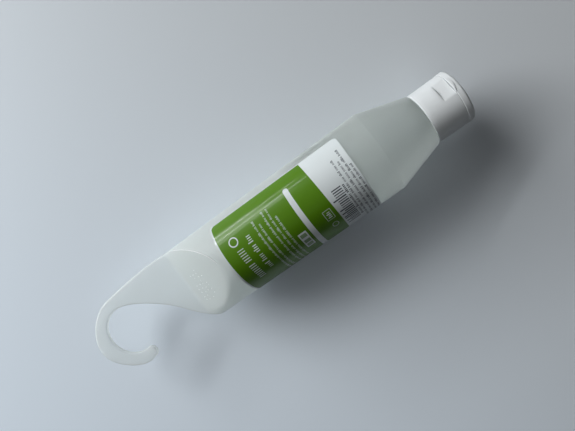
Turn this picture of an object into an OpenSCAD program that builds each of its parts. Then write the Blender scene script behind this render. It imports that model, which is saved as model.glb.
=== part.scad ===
// Hanging squeeze bottle for gel, lying on its side, with a hook moulded on its
// closed end and a flip-top cap on its neck. The bottle's axis runs along X, with
// the cap towards +X and the hook towards -X. The hook plate is level. Stations
// along the axis are counted from the line where the body meets the hook plate.

/* [Body] */
// Outer radius of the round body
body_r = 25; // [21:0.5:32]
// From the hook plate to the corner where the shoulder starts
body_len = 138; // [110:1:190]
// Wall of the blown body
wall = 1; // [0.7:0.1:1.6]
// Length of the two slanted faces that close the body onto the hook plate
wedge_len = 31.2; // [24:0.2:42]
// How far each slanted face swells above a flat one
wedge_swell = 1; // [0.2:0.1:2]

/* [Shoulder and neck] */
// Length of the tapered shoulder
shoulder_len = 29; // [20:0.5:45]
// Radius of the shoulder where the cap starts
shoulder_end_r = 15.8; // [15:0.1:18]
// Rounding of the corner between body and shoulder
shoulder_round = 3; // [1:0.5:6]
// Rounding of the shoulder's end
rim_round = 1.3; // [0.5:0.1:2]
// Outer radius of the neck, without its thread
neck_r = 12.6; // [12.2:0.1:13.2]
// Radius of the neck's bore
neck_bore_r = 10.7; // [9:0.1:11.4]
// Height of the neck
neck_len = 17.2; // [12:0.2:22]

/* [Hook] */
// Thickness of the hook plate, both walls pinched together
plate_t = 3; // [2:0.1:4]
// Radius of the hook's eye
eye_r = 15.5; // [11:0.5:18]
// From the body's end to the centre of the eye
eye_back = 48.1; // [40:0.1:62]
// How far the eye lies off the bottle's axis, away from the spine
eye_drop = 0.6; // [-2:0.1:2]
// Width of the hook's strip beside the spine
strip_top = 7.6; // [5:0.1:9]
// Width of the hook's strip on the open side
strip_low = 8.6; // [5:0.1:10]
// How much wider the strip is at the far end of the hook
nose_w = 2.6; // [0:0.1:5]
// Radius of the rounded tip
tip_r = 3.6; // [2:0.1:4.2]
// How far the plate's spine stands past the body's radius
spine_out = 0.5; // [0:0.1:1.5]
// From the body's end to the throat, where the eye's edge turns to the body
throat_back = 12.6; // [8:0.2:18]
// How far the throat lies off the axis
throat_drop = 8.1; // [3:0.1:12]
// From the body's end to where the plate's edge runs into the body's side
corner_back = 8.2; // [4:0.2:14]
// How far the body's corner beside the throat is cut in from its side
corner_in = 4; // [2:0.5:7]
// Angle between that cut and the body's side, in degrees
corner_lean = 32; // [20:1:50]
// Slope of the two bevels over the cut corner, in degrees
corner_slope = 47; // [35:1:65]

/* [Label] */
// From the hook plate to the label's nearer edge
label_start = 35.9; // [33:0.1:50]
// Length of the label along the bottle
label_len = 86.5; // [50:0.5:100]
// Angle round the bottle at which the label's long edge lies
label_angle = 33; // [0:1:90]
// How far the label reaches round the bottle, in degrees
label_wrap = 220; // [120:1:300]
// Thickness of the label
label_t = 0.15; // [0.1:0.05:0.3]
// Radius of the label's corners
label_corner_r = 3; // [1:0.5:6]
// Gap left under the label for its glue
glue_gap = 0.03; // [0.01:0.01:0.1]

/* [Contents] */
// Gap between the gel and the wall
gel_gap = 0.3; // [0.2:0.05:1]

/* [Cap] */
// Outer radius of the cap's skirt
cap_r = 15.6; // [15.3:0.1:17]
// Radius of the skirt's bore, which clears the thread
cap_bore_r = 13.95; // [13.7:0.05:14.2]
// From the shoulder's end to the seam under the lid
seam_height = 18.8; // [14:0.1:24]
// Thickness of the deck that closes the cap
deck_t = 1.5; // [1:0.1:2.5]
// Gap between the cap's skirt and the shoulder
skirt_gap = 0.3; // [0.1:0.1:1]
// Length of the plug that seals inside the neck
plug_len = 3; // [1.5:0.5:5]
// Wall of the plug
plug_wall = 1.2; // [0.8:0.1:2]
// Clearance between the plug and the neck's bore
plug_clear = 0.08; // [0.02:0.01:0.1]
// Radius of the spout
spout_r = 4; // [3:0.1:6]
// Height of the spout above the deck
spout_len = 1.9; // [1:0.1:2.2]
// Radius of the hole in the spout
orifice_r = 2; // [1:0.1:2.6]

/* [Thumb recess] */
// Angle round the cap of the thumb recess
thumb_angle = 59; // [0:1:120]
// Distance of the recess's flat floor from the cap's axis
thumb_floor_r = 14.5; // [14.4:0.05:15]
// Length of the recess below the seam
thumb_len = 7.3; // [4:0.1:10]
// Height of the arched thumb lip on the lid's rim, over the recess
lip_h = 1.6; // [0.8:0.1:2.2]
// Half the width of the lip
lip_half_w = 5.6; // [3:0.1:7]
// How far the lip stands out from the rim
lip_out = 0.5; // [0.2:0.1:1]

/* [Lid] */
// Outer radius of the lid
lid_r = 15.8; // [15.5:0.1:17.2]
// Height of the lid
lid_h = 4; // [3.6:0.1:6]
// Wall of the lid's rim
lid_wall = 1.2; // [0.8:0.1:2]
// Thickness of the lid's top
lid_top_t = 1.3; // [0.8:0.1:1.5]
// Rounding of the lid's top edge
lid_round = 1.1; // [0.3:0.1:1.2]
// Gap of the seam between lid and cap
seam_gap = 0.06; // [0.04:0.01:0.3]
// Clearance between the lid's pin and the spout's hole
pin_clear = 0.15; // [0.1:0.01:0.3]
// How far the pin reaches into the spout
pin_reach = 1.1; // [0.5:0.1:1.2]
// Radius of the folded film that joins lid and cap
film_r = 0.45; // [0.3:0.05:0.6]
// Length of the folded film
film_len = 9; // [5:0.5:12]
// Clearance round the folded film
film_clear = 0.05; // [0.02:0.01:0.1]

/* [Hidden] */
$fn = 96;

ARC_STEPS = 6;
CURVE_STEPS = 10;
EYE_STEP = 6; // degrees between points round the eye
PAST = 2; // how far a cut runs past the faces it opens
ROOT = 4; // how far the hook plate runs on past its corners, inside the body
CORNER_STEP = 0.05; // step where the label's round corners start, clear of its edges

// Angles round the hook's eye, from the bottle's +X side towards the spine
NOSE_ANGLE = 190; // the far end, where the strip is widest
NOSE_SPREAD = 50; // how far to each side of it the strip is wider
TIP_ANGLE = 276; // the tip
ROOF_ANGLE = 75; // where the eye's round edge ends
FALL_ANGLE = 51; // slope of the eye's edge at the throat

// Stations along the axis
shoulder_end = body_len + shoulder_len;
neck_end = shoulder_end + neck_len;
seam = shoulder_end + seam_height;
deck_under = seam - deck_t;
lid_start = seam + seam_gap;
lid_end = lid_start + lid_h;
lid_roof = lid_end - lid_top_t;
spout_end = seam + spout_len;
hook_reach = eye_back + eye_r + strip_width(180);
middle = (lid_end - hook_reach) / 2;

// Inner faces of the bottle
inner_r = body_r - wall;
inner_shoulder_r = shoulder_end_r - wall;
gel_end = shoulder_end - rim_round;

// Opposite the thumb recess, the hinge lies in the seam
hinge_angle = thumb_angle + 180;
hinge_r = cap_r;
groove_r = film_r + film_clear;

// ---- curves -------------------------------------------------------------

// A point at a distance and an angle from a centre
function polar(c, r, a) = [c.x + r * cos(a), c.y + r * sin(a)];

// Points of an arc from one angle to another
function arc(c, r, a0, a1, steps) =
    [for (i = [0:steps]) polar(c, r, a0 + (a1 - a0) * i / steps)];

// Points of a cubic curve, without its first point
function curve(p, steps) = [for (i = [1:steps]) let (t = i / steps, u = 1 - t)
    u * u * u * p[0] + 3 * u * u * t * p[1] + 3 * u * t * t * p[2] + t * t * t * p[3]];

// An arc of radius r that rounds the corner b of a path from a by b to c
function unit(v) = v / norm(v);
function rounded(a, b, c, r) =
    let (u = unit(a - b), v = unit(c - b), half = acos(u * v) / 2,
         centre = b + unit(u + v) * r / sin(half),
         p = b + u * r / tan(half), q = b + v * r / tan(half),
         a0 = atan2(p.y - centre.y, p.x - centre.x),
         a1 = atan2(q.y - centre.y, q.x - centre.x),
         turn = a1 - a0 > 180 ? a1 - a0 - 360 : a1 - a0 < -180 ? a1 - a0 + 360 : a1 - a0)
    arc(centre, r, a0, a0 + turn, ARC_STEPS);

// Width of the hook's strip at an angle round the eye: it grows steadily from
// the spine round to the open side, with a wider stretch at the far end
function strip_width(a) =
    let (share = (a - 90) / (TIP_ANGLE - 90), off = abs(a - NOSE_ANGLE) / NOSE_SPREAD)
    strip_top + (strip_low - strip_top) * share
    + nose_w * (off < 1 ? pow(cos(90 * off), 2) : 0);

// ---- frames ----------------------------------------------------------------

// From the bottle's own stations to the frame of the part, whose origin is on the
// surface that the bottle lies on, under the middle of its length
module lie() { translate([-middle, 0, body_r]) children(); }

// Turns a shape that stands along Z to lie along the bottle's axis
module along_axis() { rotate([0, 90, 0]) children(); }

// Turns a shape that lies on the +Y side round the bottle, towards +Z first
module round_to(angle) { rotate([angle, 0, 0]) children(); }

// Spins a profile of [station, radius] points about the bottle's axis
module spin(profile) {
    along_axis() rotate_extrude() polygon([for (p = profile) [p.y, p.x]]);
}

// A bore or bar of one radius between two stations
module rod(r, from, to) {
    along_axis() translate([0, 0, from]) cylinder(r = r, h = to - from);
}

// ---- bottle ----------------------------------------------------------------

// Half the height of the closed end at a share s of the slanted faces' length
function wedge_height(s) =
    plate_t / 2 + (body_r - plate_t / 2) * s + 4 * wedge_swell * s * (1 - s);

// The closed end seen from the side, with walls of the plate's half thickness
// left out, from its edge to a station past the end of the body
module wedge_side(skin) {
    last = 1 + PAST / wedge_len;
    top = [for (i = [0:CURVE_STEPS]) let (s = last * i / CURVE_STEPS)
           [s * wedge_len, wedge_height(s) - skin]];
    far = [neck_end + PAST, wedge_height(last)];
    half = [for (p = concat(top, [far])) if (p.y > 0) p];
    lower = [for (i = [len(half) - 1:-1:0]) [half[i].x, -half[i].y]];
    tip = skin > 0 ? [[0, 0]] : [];
    rotate([90, 0, 0]) linear_extrude(2 * body_r + 2 * PAST, center = true)
        polygon(concat(tip, half, lower));
}

// What is cut off the body's corner beside the throat: all that lies outside a
// line from the hook plate to the body's side, and above two bevels that rise
// inwards from the plate's faces along that line. The skin moves the cut inwards.
module corner_cut(skin) {
    reach = body_r + PAST;
    rise = reach * tan(corner_slope);
    face = plate_t / 2;
    translate([0, corner_in - body_r, 0]) rotate([0, 0, -corner_lean])
        translate([-reach, skin, 0]) rotate([90, 0, 90]) linear_extrude(3 * reach)
        polygon([[0, face], [reach, face + rise], [-reach, face + rise],
                 [-reach, -face - rise], [reach, -face - rise], [0, -face]]);
}

// Edge of the hook plate, from the spine round the hook to its tip, back round
// the eye, and by the throat to the body's other corner
module hook_plate() {
    eye = [-eye_back, -eye_drop];
    spine = [[0, body_r], [-0.3 * eye_back, body_r + 2.4 * spine_out],
             [-0.66 * eye_back, body_r - 0.5 * spine_out],
             polar(eye, eye_r + strip_width(90), 90)];
    outer = [for (a = [90:EYE_STEP:TIP_ANGLE - EYE_STEP]) polar(eye, eye_r + strip_width(a), a)];
    tip_centre = polar(eye, eye_r + strip_width(TIP_ANGLE) / 2, TIP_ANGLE);
    tip = arc(tip_centre, tip_r, TIP_ANGLE, TIP_ANGLE + 180, ARC_STEPS * 2);
    inner = [for (a = [TIP_ANGLE - EYE_STEP:-EYE_STEP:ROOF_ANGLE + 1]) polar(eye, eye_r, a)];
    start = polar(eye, eye_r, ROOF_ANGLE);
    throat = [-throat_back, -throat_drop];
    fall = [cos(FALL_ANGLE), -sin(FALL_ANGLE)];
    roof = [start, start + 0.6 * eye_r * [sin(ROOF_ANGLE), -cos(ROOF_ANGLE)],
            throat - 0.7 * eye_r * fall, throat];
    side = [throat, throat + 0.6 * eye_r * fall, [0.2 * corner_back, -body_r], [corner_back, -body_r]];
    root = [[corner_back + ROOT, PAST - body_r], [corner_back + ROOT, body_r - PAST]];
    linear_extrude(plate_t, center = true)
        polygon(concat([[0, body_r]], curve(spine, CURVE_STEPS), outer, tip, inner, [start],
                       curve(roof, CURVE_STEPS), curve(side, CURVE_STEPS), root));
}

// Outline of the round bottle, or of its inner face, as [station, radius]
module body_of_revolution() {
    corner = [body_len, body_r];
    rim = [shoulder_end, shoulder_end_r];
    spin(concat([[-PAST, 0], [-PAST, body_r]],
                rounded([0, body_r], corner, rim, shoulder_round),
                rounded(corner, rim, [shoulder_end, neck_r], rim_round),
                [[shoulder_end, neck_r], [neck_end, neck_r], [neck_end, 0]]));
}

module cavity_of_revolution(gap) {
    corner = [body_len, inner_r - gap];
    end = gel_end - gap;
    rim = [end, inner_shoulder_r - gap];
    spin(concat([[0, 0], [0, inner_r - gap]],
                rounded([0, inner_r - gap], corner, rim, shoulder_round),
                [rim, [end, 0]]));
}

module bottle() {
    color("whitesmoke") lie() difference() {
        union() {
            difference() {
                intersection() {
                    body_of_revolution();
                    wedge_side(0);
                }
                corner_cut(0);
            }
            hook_plate();
        }
        difference() {
            intersection() {
                cavity_of_revolution(0);
                wedge_side(plate_t / 2);
            }
            corner_cut(plate_t);
        }
        rod(neck_bore_r, gel_end - PAST, neck_end + PAST);
    }
}

// ---- label -----------------------------------------------------------------

// What is cut away to round a corner of the label, on the +Y side of the bottle
module label_corner() {
    rotate([-90, 0, 0]) linear_extrude(body_r + PAST) difference() {
        square(label_corner_r + PAST);
        circle(label_corner_r);
    }
}

module label() {
    inside = body_r + glue_gap;
    corner_in = label_corner_r + CORNER_STEP;
    corner_turn = corner_in / body_r * 180 / PI;
    color("yellowgreen") lie() difference() {
        round_to(label_angle) rotate([0, 90, 0]) rotate([0, 0, 90])
            rotate_extrude(angle = label_wrap)
            translate([inside, label_start]) square([label_t, label_len]);
        for (end = [0, 1], side = [0, 1])
            round_to(label_angle + (side == 0 ? corner_turn : label_wrap - corner_turn))
            translate([label_start + (end == 0 ? corner_in : label_len - corner_in), 0, 0])
            mirror([end == 0 ? 1 : 0, 0, 0]) mirror([0, 0, side == 0 ? 0 : 1]) label_corner();
    }
}

// ---- contents --------------------------------------------------------------

module gel_fill() {
    slope = atan((body_r - plate_t / 2) / wedge_len);
    color("lightcyan") lie() difference() {
        intersection() {
            cavity_of_revolution(gel_gap);
            translate([gel_gap / sin(slope), 0, 0]) wedge_side(plate_t / 2);
        }
        corner_cut(plate_t + gel_gap / sin(corner_slope));
    }
}

// ---- cap -------------------------------------------------------------------

// A bar along the hinge line, which lies across the seam opposite the recess
module on_hinge(r, length) {
    round_to(hinge_angle) translate([seam, hinge_r, 0]) cylinder(r = r, h = length, center = true);
}

module cap_body() {
    plug_r = neck_bore_r - plug_clear;
    color("white") lie() difference() {
        union() {
            difference() {
                rod(cap_r, shoulder_end + skirt_gap, seam);
                rod(cap_bore_r, shoulder_end, deck_under);
            }
            rod(plug_r, deck_under - plug_len, deck_under);
            rod(spout_r, deck_under, spout_end);
        }
        rod(plug_r - plug_wall, deck_under - plug_len - PAST, deck_under);
        rod(orifice_r, deck_under - PAST, spout_end + PAST);
        round_to(thumb_angle) translate([seam - thumb_len, thumb_floor_r, -cap_r])
            cube([thumb_len + PAST, cap_r, 2 * cap_r]);
        on_hinge(groove_r, film_len + 2 * film_clear);
    }
}

module hinge_film() {
    color("gainsboro") lie() on_hinge(film_r, film_len);
}

module flip_lid() {
    pin_r = orifice_r - pin_clear;
    lip_r = (lip_half_w * lip_half_w + lip_h * lip_h) / (2 * lip_h);
    color("white") lie() difference() {
        union() {
            difference() {
                spin(concat([[lid_start, 0], [lid_start, lid_r]],
                            rounded([lid_start, lid_r], [lid_end, lid_r], [lid_end, 0], lid_round),
                            [[lid_end, 0]]));
                rod(lid_r - lid_wall, lid_start - PAST, lid_roof);
            }
            rod(pin_r, spout_end - pin_reach, lid_roof);
            intersection() {
                spin([[lid_start, lid_r - lid_wall / 2], [lid_start, lid_r + lip_out],
                      [lid_start + lip_h, lid_r + lip_out], [lid_start + lip_h, lid_r - lid_wall / 2]]);
                round_to(thumb_angle) translate([lid_start + lip_h - lip_r, lid_r / 2, 0])
                    rotate([-90, 0, 0]) cylinder(r = lip_r, h = lid_r);
            }
        }
        on_hinge(groove_r, film_len + 2 * film_clear);
    }
}

bottle();
label();
gel_fill();
cap_body();
hinge_film();
flip_lid();
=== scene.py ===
"""Looks of a hanging gel bottle: shell with its hook, printed label, gel, cap, film hinge and lid.

Sizes are in millimetres in the bottle's own stations: x counts along the axis from the line where
the body meets the hook plate, y points to the spine's side, z points up from the axis.
"""

from __future__ import annotations

import logging
import math
from abc import ABC, abstractmethod
from dataclasses import dataclass, replace
from enum import Enum
from typing import Callable, Sequence

import bpy
import numpy as np
from mathutils import Euler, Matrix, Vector

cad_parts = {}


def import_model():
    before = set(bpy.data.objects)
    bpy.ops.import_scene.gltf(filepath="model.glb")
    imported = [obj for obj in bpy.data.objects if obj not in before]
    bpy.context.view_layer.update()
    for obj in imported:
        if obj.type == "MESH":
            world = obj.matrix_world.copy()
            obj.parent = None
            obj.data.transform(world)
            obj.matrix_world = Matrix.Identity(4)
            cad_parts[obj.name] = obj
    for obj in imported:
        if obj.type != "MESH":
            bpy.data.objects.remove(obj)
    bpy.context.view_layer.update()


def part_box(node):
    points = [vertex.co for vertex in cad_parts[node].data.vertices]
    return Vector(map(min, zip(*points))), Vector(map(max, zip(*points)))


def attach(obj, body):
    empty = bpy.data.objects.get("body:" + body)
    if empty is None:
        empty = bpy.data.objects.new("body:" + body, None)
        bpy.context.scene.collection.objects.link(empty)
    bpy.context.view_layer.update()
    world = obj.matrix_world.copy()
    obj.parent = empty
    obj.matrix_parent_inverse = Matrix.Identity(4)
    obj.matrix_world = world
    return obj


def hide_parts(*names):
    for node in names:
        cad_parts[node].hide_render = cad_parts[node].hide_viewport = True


LOG = logging.getLogger("gel_bottle")
RING = 240  # points round each section of the bottle
SAME = 1e-6  # two radii nearer than this are the same
SLIVER = 0.02  # least half height of a section that closes to a plate
FACING = 0.5  # least cosine off a flat's middle at which the flat still counts
MAP_MM = 100.0  # millimetres in one unit of the label's map
WEDGE_END = 36.0  # station by which the slanted faces have run out
AFTER_WEDGE = (39.0, 43.0, 47.0)  # stations of the rings between there and the barrel
THREAD_ROWS = 44  # rings along a threaded run
DAYLIGHT = (0.97, 0.99, 1.0)


# ---------------------------------------------------------------- frame and meshes


@dataclass(frozen=True)
class Stations:
    """Stations along the bottle's axis that more than one piece needs."""

    zero_x: float
    axis_z: float = 25.0
    barrel_from: float = 52.0
    body_end: float = 138.0
    shoulder_end: float = 167.0
    neck_end: float = 184.2
    seam: float = 185.8
    lid_start: float = 185.86
    lid_end: float = 189.86

    @staticmethod
    def from_frame() -> "Stations":
        """Finds the zero station from the CAD bottle, whose far end is the top of its neck."""
        return Stations(zero_x=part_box("bottle")[1].x * 1000 - Stations.neck_end)

    def place(self, points: np.ndarray) -> np.ndarray:
        """Turns points from the bottle's stations into the part's frame.

        Args:
            points: array (..., 3) in millimetres.

        Returns:
            The same points in metres: (x + zero, y, z + axis height) / 1000.
        """
        return (np.asarray(points, float) + (self.zero_x, 0.0, self.axis_z)) / 1000


@dataclass
class Skin:
    """Points and faces of a mesh that is still being worked out."""

    points: np.ndarray
    faces: list
    uv: np.ndarray | None = None


def grid_faces(rows: int, columns: int, wrap_rows: bool = False) -> np.ndarray:
    """Quads over a grid whose columns close on themselves.

    Args:
        rows: number of rows.
        columns: points in a row; the last joins the first.
        wrap_rows: whether the last row joins the first too.

    Returns:
        Array (n, 4) of point numbers, row by row.
    """
    i = np.arange(rows if wrap_rows else rows - 1)[:, None]
    j = np.arange(columns)[None, :]
    a, b = i * columns, ((i + 1) % rows) * columns
    k = (j + 1) % columns
    return np.stack([a + j, a + k, b + k, b + j], axis=-1).reshape(-1, 4)


def loft(rows: np.ndarray, start: Sequence[float], end: Sequence[float]) -> Skin:
    """Closed skin through rings of points, with one pole before the first and one after the last.

    Args:
        rows: array (n, m, 3) of rings.
        start: pole before the first ring.
        end: pole after the last ring.

    Returns:
        The closed skin.
    """
    count, ring = rows.shape[:2]
    points = np.concatenate([rows.reshape(-1, 3), [start, end]])
    j = np.arange(ring)
    k = (j + 1) % ring
    last = (count - 1) * ring
    first_fan = np.stack([np.full(ring, count * ring), k, j], axis=1)
    last_fan = np.stack([np.full(ring, count * ring + 1), last + j, last + k], axis=1)
    faces = [*grid_faces(count, ring).tolist(), *first_fan.tolist(), *last_fan.tolist()]
    return Skin(points, faces)


def torus(rows: np.ndarray) -> Skin:
    """Closed skin through rings of points whose last ring joins the first.

    Args:
        rows: array (n, m, 3) of rings.

    Returns:
        The closed skin.
    """
    count, ring = rows.shape[:2]
    return Skin(rows.reshape(-1, 3), grid_faces(count, ring, wrap_rows=True).tolist())


def volume(skin: Skin) -> float:
    """Signed volume of a closed skin, the sum over its triangles of a . (b x c) / 6.

    Args:
        skin: the closed skin.

    Returns:
        The volume, negative where the faces point inwards.
    """
    tris = np.array([(f[0], f[n], f[n + 1]) for f in skin.faces for n in range(1, len(f) - 1)])
    a, b, c = (skin.points[tris[:, n]] for n in range(3))
    return float(np.einsum("ij,ij->i", a, np.cross(b, c)).sum() / 6)


def around(ring: int) -> np.ndarray:
    """Angles of a ring's points, spread evenly from 0 towards 2 pi."""
    return np.arange(ring) * 2 * math.pi / ring


def spun(x: np.ndarray, r: np.ndarray, turn: np.ndarray) -> np.ndarray:
    """Points (x, r cos t, r sin t) round the axis.

    Args:
        x: stations.
        r: radii.
        turn: angles t; the three arrays are spread over one another.

    Returns:
        Array (..., 3).
    """
    x, r, turn = np.broadcast_arrays(x, r, turn)
    return np.stack([x, r * np.cos(turn), r * np.sin(turn)], axis=-1)


def fillet(corners: Sequence[tuple], steps: int = 6) -> np.ndarray:
    """Path through corners, each replaced by an arc of its own radius.

    Args:
        corners: tuples (x, r, radius); radius 0 keeps the corner sharp.
        steps: spans of each arc.

    Returns:
        Array (n, 2): with unit vectors u and v along the two sides of a corner b, the arc's
        centre is b + (u + v) / |u + v| * radius / sin(half angle).
    """
    path = []
    for n, (x, r, radius) in enumerate(corners):
        b = np.array([x, r], float)
        if radius == 0 or n in (0, len(corners) - 1):
            path.append(b)
            continue
        u, v = (np.array(corners[m][:2], float) - b for m in (n - 1, n + 1))
        u, v = u / np.linalg.norm(u), v / np.linalg.norm(v)
        half = math.acos(float(np.clip(u @ v, -1, 1))) / 2
        way = (u + v) / np.linalg.norm(u + v)
        centre = b + way * radius / math.sin(half)
        ends = [b + side * radius / math.tan(half) - centre for side in (u, v)]
        a0, a1 = (math.atan2(e[1], e[0]) for e in ends)
        turn = (a1 - a0 + math.pi) % (2 * math.pi) - math.pi
        angle = a0 + turn * np.linspace(0, 1, steps + 1)
        path.extend(centre + radius * np.stack([np.cos(angle), np.sin(angle)], axis=1))
    return np.array(path)


def finer(path: np.ndarray, longest: float) -> np.ndarray:
    """Adds points to a path so that no span is longer than a given length.

    Args:
        path: array (n, 2).
        longest: the longest span.

    Returns:
        The path with each span cut into equal parts.
    """
    out = [path[:1]]
    for a, b in zip(path[:-1], path[1:]):
        parts = max(1, math.ceil(float(np.linalg.norm(b - a)) / longest))
        out.append(a + (b - a) * np.linspace(0, 1, parts + 1)[1:, None])
    return np.concatenate(out)


def straighten(path: np.ndarray, run: np.ndarray, radius: float, x: np.ndarray | int) -> np.ndarray:
    """Replaces a run of a path by points at one radius.

    Args:
        path: array (n, 2) of stations and radii.
        run: whether each point belongs to the run.
        radius: radius of the new points.
        x: their stations, or how many lie evenly from the run's first station to its last.

    Returns:
        The new path.
    """
    first, last = np.flatnonzero(run)[[0, -1]]
    if isinstance(x, int):
        x = np.linspace(path[first, 0], path[last, 0], x)
    straight = np.stack([x, np.full(len(x), radius)], axis=1)
    return np.concatenate([path[:first], straight, path[last + 1:]])


def bezier(points: Sequence[Sequence[float]], steps: int) -> np.ndarray:
    """Cubic curve: the sum of p_k B_k(t), with B_k the Bernstein polynomials of degree 3.

    Args:
        points: four control points.
        steps: number of spans.

    Returns:
        Array (steps + 1, 2).
    """
    t = np.linspace(0, 1, steps + 1)[:, None]
    p = np.asarray(points, float)
    return ((1 - t) ** 3 * p[0] + 3 * (1 - t) ** 2 * t * p[1] + 3 * (1 - t) * t**2 * p[2]
            + t**3 * p[3])


def eased(share: np.ndarray) -> np.ndarray:
    """Smooth step 3 s^2 - 2 s^3 of a share s that is held between 0 and 1."""
    s = np.clip(share, 0, 1)
    return s * s * (3 - 2 * s)


def smooth_max(a: np.ndarray, b: np.ndarray, reach: float) -> np.ndarray:
    """Greater of two values, blended over a reach: (a + b + sqrt((a - b)^2 + reach^2)) / 2."""
    return (a + b + np.sqrt((a - b) ** 2 + reach**2)) / 2


def rounded_meet(a: np.ndarray, b: np.ndarray, radius: float) -> np.ndarray:
    """Distance field of what is inside both a and b, whose common edge is rounded.

    Args:
        a: first field, negative inside.
        b: second field, negative inside.
        radius: radius of the edge.

    Returns:
        hypot(max(a + radius, 0), max(b + radius, 0)) - radius + min(max(a, b) + radius, 0).
    """
    outside = np.hypot(np.maximum(a + radius, 0), np.maximum(b + radius, 0)) - radius
    return outside + np.minimum(np.maximum(a, b) + radius, 0)


def cast(field: Callable[[np.ndarray], np.ndarray], shape: tuple, reach: float,
         halvings: int = 34) -> np.ndarray:
    """Distances at which rays leave a shape, found by halving.

    Args:
        field: value of the shape's field at a distance along each ray, negative inside.
        shape: shape of the array of rays.
        reach: a distance that is outside for every ray.
        halvings: how often the reach is halved.

    Returns:
        The distances.
    """
    low, high = np.zeros(shape), np.full(shape, reach)
    for _ in range(halvings):
        middle = (low + high) / 2
        inside = field(middle) < 0
        low, high = np.where(inside, middle, low), np.where(inside, high, middle)
    return (low + high) / 2


@dataclass(frozen=True)
class Tag:
    """What a piece is called, the CAD body it rides on, the node it stands for and its slot."""

    name: str
    body: str
    node: str | None
    slot: str


class Piece(ABC):
    """One piece of the object."""

    tag: Tag

    @abstractmethod
    def skin(self) -> Skin:
        """Returns the piece's closed skin in the bottle's stations."""


@dataclass
class Maker:
    """Turns pieces into objects that ride on the CAD's bodies."""

    stations: Stations

    def mesh(self, name: str, skin: Skin) -> bpy.types.Mesh:
        """Makes a smooth mesh in the part's frame, with its faces outwards.

        Args:
            name: name of the mesh.
            skin: closed skin in the bottle's stations.

        Returns:
            The mesh.
        """
        faces = skin.faces if volume(skin) > 0 else [f[::-1] for f in skin.faces]
        data = bpy.data.meshes.new(name)
        data.from_pydata(self.stations.place(skin.points).tolist(), [], faces)
        data.polygons.foreach_set("use_smooth", np.ones(len(faces), bool))
        if skin.uv is not None:
            layer = data.uv_layers.new(name="print")
            corner = np.zeros(len(data.loops), np.int32)
            data.loops.foreach_get("vertex_index", corner)
            layer.data.foreach_set("uv", skin.uv[corner].astype(np.float32).ravel())
        data.validate()
        data.update()
        return data

    def build(self, piece: Piece, material: bpy.types.Material) -> bpy.types.Object:
        """Makes a piece's object, lets it ride on its body and stand for its CAD node.

        Args:
            piece: the piece.
            material: its material.

        Returns:
            The piece's object.
        """
        tag, skin = piece.tag, piece.skin()
        thing = bpy.data.objects.new(tag.name, self.mesh(tag.name, skin))
        thing.data.materials.append(material)
        bpy.context.scene.collection.objects.link(thing)
        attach(thing, tag.body)
        if tag.node:
            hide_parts(tag.node)
        LOG.info("%s: %d points, %d faces", tag.name, len(skin.points), len(skin.faces))
        return thing


# ---------------------------------------------------------------- shader wiring


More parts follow.
